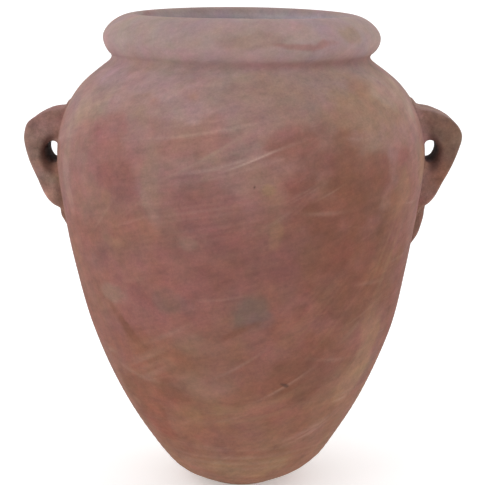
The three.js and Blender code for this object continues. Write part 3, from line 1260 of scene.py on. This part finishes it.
@dataclass
class StrapHandle:
    """An ear-shaped strap handle, thick above its finger gap and drawn out to a long heel."""

    side: Side
    form: JarForm
    paint: Paint
    finish: FiredClay = HANDLE_CLAY
    half_width: float = 0.042
    gap_centre: tuple[float, float] = (0.2905, 0.5370)
    gap_half: tuple[float, float] = (0.0145, 0.0175)
    root_angle: float = math.radians(128)
    edge_round: float = 0.0075
    fillet: float = 0.012
    rows: int = 220
    # painted shade: the dark colour laid in and round the finger gap
    gap_shade_tint: tuple[int, int, int] = (94, 64, 56)

    @property
    def gap_middle(self) -> np.ndarray:
        """The middle of this side's finger gap, [distance from the axis, height]."""
        return np.array((self.gap_centre[0], self.gap_centre[1] + EARS[self.side].gap_rise))

    def section(self) -> tuple[np.ndarray, ...]:
        """A rounded rectangle as shares of its core's half sizes and of its edge's round.

        Returns:
            Core x, core y, round x, round y: a point is core * (half - round) + round * edge.
        """
        flats, arcs = 14, 8
        quarter = np.pi / 2
        parts = []
        for start in (0.0, quarter, 2 * quarter, 3 * quarter):
            angle = start + np.linspace(0.0, quarter, arcs, endpoint=False)
            core = np.sign(unit(start + quarter / 2))
            following = np.sign(unit(start + 3 * quarter / 2))
            parts.append(joined(*core, np.cos(angle), np.sin(angle)))
            run = core + (following - core) * np.linspace(0.0, 1.0, flats, endpoint=False)[:, None]
            parts.append(joined(*run.T, *unit(start + quarter)))
        return tuple(np.concatenate(parts).T)

    def surface(self) -> np.ndarray:
        """The handle's skin as rows of sections from its top root to its heel.

        Each section spans from the finger gap to the ear's outline, with rounded edges. Near
        the wall it is drawn out by a quarter-round fillet, and the whole is a little lumpy.

        Returns:
            Places, rows by section points by 3, for the handle on the +X side.
        """
        lump_height, lump_size, thin_share, gap_share = 0.0011, 0.040, 0.45, 0.8
        flare = np.array((1.0, 0.12, 1.0))  # the fillet spreads little sideways
        t = np.linspace(0.0, 1.0, self.rows)
        outer = through(np.array(EARS[self.side].outline), t)
        angle = self.root_angle * (1.0 - 2.0 * t)
        inner = self.gap_middle + np.array(self.gap_half) * joined(np.cos(angle), np.sin(angle))
        core_x, core_y, round_x, round_y = self.section()
        middle, across = (outer + inner) / 2, (outer - inner)
        half = np.linalg.norm(across, axis=1)[:, None] / 2
        way = across / (2 * half)
        edge = np.minimum(self.edge_round, thin_share * half)
        out = core_x * (half - edge) + edge * round_x
        wide = core_y * (self.half_width - edge) + edge * round_y
        places = joined(middle[:, :1] + way[:, :1] * out, wide, middle[:, 1:] + way[:, 1:] * out)
        normal = joined(way[:, :1] * round_x, round_y, way[:, 1:] * round_x)
        near = np.clip(self.form.stand_off(places), 0.0, self.fillet)
        draw = self.fillet - np.sqrt(self.fillet**2 - (self.fillet - near) ** 2)
        draw *= 1.0 - gap_share * np.clip(-round_x, 0.0, 1.0)
        flat = places.reshape(-1, 3) + (0.0, 2.0 * self.side.value, 0.0)
        lump = lump_height * cloud(flat, lump_size, 51, 4).reshape(out.shape)
        return places + normal * (draw[..., None] * flare + lump[..., None])

    def build(self) -> bpy.types.Object:
        """Makes the handle with its two roots closed inside the wall.

        Returns:
            The handle's object.
        """
        places = self.surface()
        points, quads = closed_tube(places.reshape(-1, 3), *places.shape[:2])
        spun = self.side.turned(points)
        name = self.side.name.lower() + "_handle"
        piece = build_mesh(name + "_clay", spun, quads)
        put_colour(piece, self.colour(points, spun))
        dress(piece, self.finish, name)
        return piece

    def colour(self, points: np.ndarray, spun: np.ndarray) -> np.ndarray:
        """The handle's colour: the wall's at its root, its side tint, painted top light, painted gap
        shade.

        Args:
            points: Places on the handle before it is turned to its side.
            spun: The same places on the jar.

        Returns:
            Display values 0 to 1, n by 3.
        """
        ear, wall = EARS[self.side], self.paint.outside(spun)
        clouding = 0.10 * np.array((0.9, 1.0, 1.0))
        warming = 0.06 * np.array((0.5, -0.6, -0.8))
        paling = ear.heel_pale * np.array((1.0, 0.9, 1.0))
        mixed = shares(ear.side_tint) + cloud(spun, 0.026, 55, 5)[:, None] * clouding
        mixed += np.maximum(cloud(spun, 0.045, 57, 4), -0.2)[:, None] * warming
        mixed += smooth_step(0.505, 0.470, points[:, 2])[:, None] * paling
        beside, up = ((points[:, [0, 2]] - self.gap_middle) / self.gap_half).T
        far = np.hypot(beside, np.where(up < 0.0, up / 1.3, up))  # 1 at the finger gap's edge
        on_top = smooth_step(0.0405, 0.0365, np.abs(points[:, 1])) * smooth_step(1.9, 2.4, far)
        # painted light: the ear's upper top face made paler, as if lit from above
        painted_top_light = smooth_step(0.555, 0.580, points[:, 2]) * np.maximum(on_top, ear.lit_top_spread)
        # painted shade: darkening in and round the finger gap, reaching further below it
        painted_gap_shade = smooth_step(1.80, 1.20, far + 0.25 * cloud(spun, 0.020, 56, 3))
        away = smooth_step(0.000, 0.014, self.form.stand_off(points))
        for cover, tint in ((painted_top_light, shares(ear.lit_top_tint)), (painted_gap_shade, shares(self.gap_shade_tint))):
            mixed += cover[:, None] * (tint - mixed)
        return np.clip(wall + away[:, None] * (mixed - wall), 0.0, 1.0)


@dataclass
class HeelWad:
    """A wad of clay under a handle's heel, drawn down the wall until it feathers out."""

    side: Side
    form: JarForm
    paint: Paint
    finish: FiredClay = HANDLE_CLAY
    half_width: float = 0.029
    top: float = 0.470
    full: float = 0.434  # height down to which it stands fully proud
    sink: float = 0.004  # how deep its edges and back lie in the wall
    rows: int = 70
    columns: int = 60
    tint: tuple[int, int, int] = (132, 102, 86)
    wall_share: float = 0.35  # how much of the wall's colour shows through

    def build(self) -> bpy.types.Object:
        """Makes the wad: a low mound on the wall over a sunk back.

        Its height is the stand times a flat-topped bell across, (1 - s^8), and a fall down
        its length to its bottom, less the sink, so that its edges dive under the wall.

        Returns:
            The wad's object.
        """
        ear = EARS[self.side]
        bottom = ear.wad_bottom - 0.004
        across = np.linspace(-1.0, 1.0, self.columns)[None, :]
        down = np.linspace(0.0, 1.0, self.rows)[:, None]
        height = self.top + (bottom - self.top) * down
        half = self.half_width * (1.0 - 0.25 * down)
        radius = self.form.outer_radius(height)
        fall = np.clip((self.full - height) / (self.full - bottom), 0.0, 1.0)
        bell = (1.0 - across**8) * (1.0 - fall**ear.wad_power)
        front = radius + (ear.wad_stand + self.sink) * bell - self.sink
        back = radius - self.sink - 0.002 + 0.0 * across
        turn = across * half / radius
        sheets = [joined(shell * np.cos(turn), shell * np.sin(turn), height) for shell in (front, back)]
        belt = np.concatenate((sheets[0], sheets[1][:, ::-1]), axis=1)
        points, quads = closed_tube(belt.reshape(-1, 3), *belt.shape[:2])
        points[:, 0] += 0.0012 * cloud(points, 0.030, 61, 3)
        spun = self.side.turned(points)
        name = self.side.name.lower() + "_heel_wad"
        piece = build_mesh(name + "_clay", spun, quads)
        wall, own = self.paint.outside(spun), shares(self.tint)
        put_colour(piece, self.wall_share * wall + (1.0 - self.wall_share) * own)
        dress(piece, self.finish, name)
        return piece


# ---- the studio --------------------------------------------------------------------------


@dataclass
class Studio:
    """A plain pale floor, soft light all round and a viewer just above the rim."""

    distance: float = 2.2766  # from the jar's axis to the viewer
    eye_height: float = 0.8678
    dip: float = math.radians(11.91)  # how far the view looks down
    step_aside: float = 0.0018
    lens: float = 108.5
    floor_half: float = 40.0
    glow: float = 0.88  # strength of the light from all round
    middle: tuple[float, float, float] = (0.0, 0.0, 0.4)  # what the soft boxes are aimed at
    boxes: tuple[tuple[str, tuple[float, float, float], float, float], ...] = (
        ("key", (-1.6, -2.4, 2.6), 1.6, 13.0),
        ("left_edge", (-2.4, 0.9, 1.4), 1.4, 6.5),
        ("right_edge", (2.4, 0.9, 1.4), 1.4, 6.5),
    )  # each one's name, place, size in metres and power in watts

    def floor(self) -> None:
        """A pale matt floor, a little brighter than the light alone would make it."""
        half = self.floor_half
        corners = [(x * half, y * half, 0.0) for x, y in ((-1, -1), (1, -1), (1, 1), (-1, 1))]
        mesh = bpy.data.meshes.new("floor")
        mesh.from_pydata(corners, [], [(0, 1, 2, 3)])
        material = bpy.data.materials.new("pale floor")
        material.use_nodes = True
        shader = material.node_tree.nodes["Principled BSDF"]
        for name, value in (
            ("Base Color", (0.97, 0.97, 0.97, 1.0)),
            ("Roughness", 0.9),
            ("Specular IOR Level", 0.1),
            ("Emission Color", (1.0, 1.0, 1.0, 1.0)),
            ("Emission Strength", 0.32),
        ):
            shader.inputs[name].default_value = value
        mesh.materials.append(material)
        put_in_scene("floor", mesh)

    def surroundings(self) -> None:
        """An even white light from all round, seen as plain white where nothing stands."""
        world = bpy.data.worlds.new("surroundings")
        world.use_nodes = True
        world.node_tree.nodes.clear()
        wiring = Wiring(world.node_tree)
        white = (1.0, 1.0, 1.0, 1.0)
        glow, backdrop = (
            wiring.add("ShaderNodeBackground", {"Color": white, "Strength": strength}).outputs[0]
            for strength in (self.glow, 1.0)
        )
        seen = wiring.add("ShaderNodeLightPath").outputs["Is Camera Ray"]
        either = wiring.add("ShaderNodeMixShader")
        for socket, source in zip(either.inputs, (seen, glow, backdrop)):
            wiring.feed(socket, source)
        wiring.add("ShaderNodeOutputWorld", {"Surface": either.outputs[0]})
        bpy.context.scene.world = world

    def soft_boxes(self) -> None:
        """Square soft lights aimed at the jar's middle."""
        for name, place, size, power in self.boxes:
            light = bpy.data.lights.new(name, "AREA")
            light.shape = "SQUARE"
            light.size = size
            light.energy = power
            lamp = put_in_scene(name, light)
            lamp.location = place
            aim = Vector(self.middle) - Vector(place)
            lamp.rotation_euler = aim.to_track_quat("-Z", "Y").to_euler()

    def camera(self) -> None:
        """The viewer, straight in front but for a small step round."""
        eye = bpy.data.cameras.new("viewer")
        eye.lens = self.lens
        eye.sensor_width = 36.0
        eye.clip_end = 120.0
        viewer = put_in_scene("viewer", eye)
        turn = math.radians(FRONT_TO_RIGHT)
        sideways = Vector((math.cos(turn), math.sin(turn), 0.0))
        back = Vector((math.sin(turn), -math.cos(turn), 0.0))
        up = Vector((0.0, 0.0, self.eye_height))
        viewer.location = back * self.distance + sideways * self.step_aside + up
        viewer.rotation_euler = (math.pi / 2 - self.dip, 0.0, turn)
        bpy.context.scene.camera = viewer

    def build(self) -> None:
        """Sets up the floor, the lights and the viewer."""
        self.floor()
        self.surroundings()
        self.soft_boxes()
        self.camera()
        bpy.context.scene.view_settings.view_transform = "Standard"


# ---- assembly ----------------------------------------------------------------------------


def main() -> None:
    """Builds the studio and every piece of the jar, and reports each."""
    logging.basicConfig(level=logging.INFO, format="%(message)s")
    form, paint = JarForm(), Paint(FRONT_PATCHES)
    Studio().build()
    makers = [
        BaseSlab("base_slab", form, paint, FOOT_CLAY),
        WallStage("foot_ring", form, paint, WALL_CLAY, seated=False),
        WallStage("lower_wall_ring", form, paint, WALL_CLAY),
        WallStage("belly_ring", form, paint, WALL_CLAY),
        WallStage("shoulder_ring", form, paint, WALL_CLAY),
        WallStage("neck_ring", form, paint, WALL_CLAY),
        RimRoll("rim_roll", form, paint, RIM_CLAY),
    ]
    for side in Side:
        makers.append(StrapHandle(side, form, paint))
        makers.append(HeelWad(side, form, paint))
    for maker in makers:
        piece = maker.build()
        log.info("%s: %d faces", piece.name, len(piece.data.polygons))


if __name__ == "__main__":
    main()
